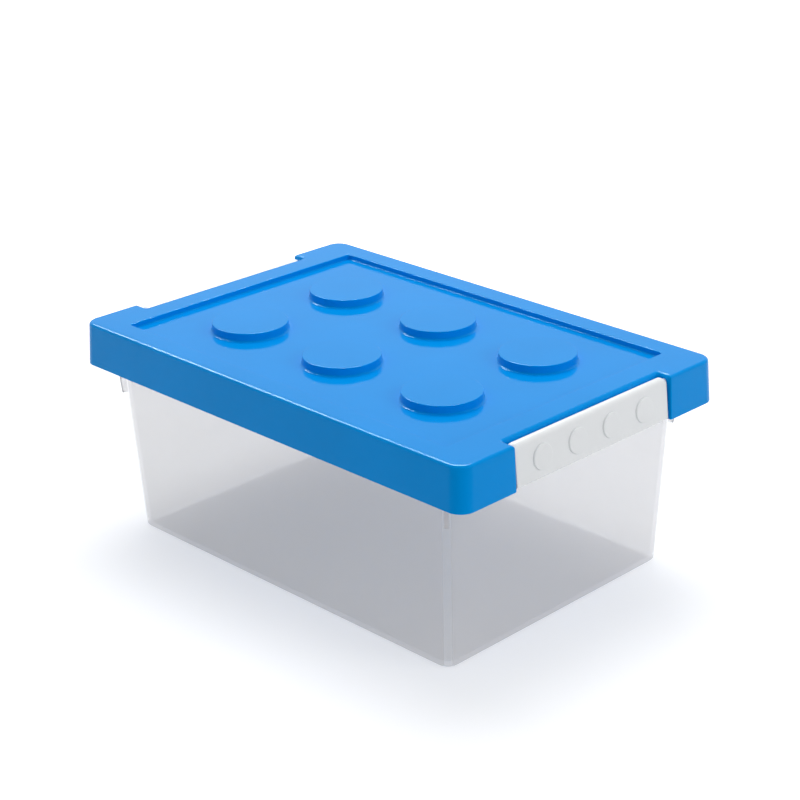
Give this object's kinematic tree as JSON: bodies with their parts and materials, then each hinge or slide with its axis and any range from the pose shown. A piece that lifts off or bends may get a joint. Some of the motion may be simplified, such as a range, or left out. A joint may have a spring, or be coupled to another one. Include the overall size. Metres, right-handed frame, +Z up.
{
  "type": "building block storage box",
  "caption": "Translucent lidded storage box: a drafted tub, a blue lid with round studs on its sunk top, and a hinged white latch at each short end.",
  "frame": {"origin": "centre of the box at the level of the surface it stands on", "axes": "+Z up, +X along the long side towards the right-hand latch, +Y along the short side away from the viewer"},
  "size_m": [0.306, 0.2048, 0.1291],
  "materials": {
    "frosted_tub": "translucent frosted polypropylene",
    "blue_lid": "glossy moulded polypropylene",
    "white_latch": "satin moulded polypropylene"
  },
  "bodies": {
    "tub": {"tub": "frosted_tub"},
    "lid": {"lid": "blue_lid"},
    "latch_right": {"latch_right": "white_latch"},
    "latch_left": {"latch_left": "white_latch"}
  },
  "joints": [
    {"name": "lid_lift", "type": "slide", "parent": "tub", "child": "lid", "axis": [0, 0, 1], "range_m": [0, 0.15]},
    {"name": "latch_right_hinge", "type": "hinge", "parent": "lid", "child": "latch_right", "pos_m": [0.14675, 0, 0.1231], "axis": [0, -1, 0], "range_deg": [0, 110]},
    {"name": "latch_left_hinge", "type": "hinge", "parent": "lid", "child": "latch_left", "pos_m": [-0.14675, 0, 0.1231], "axis": [0, 1, 0], "range_deg": [0, 110]}
  ]
}
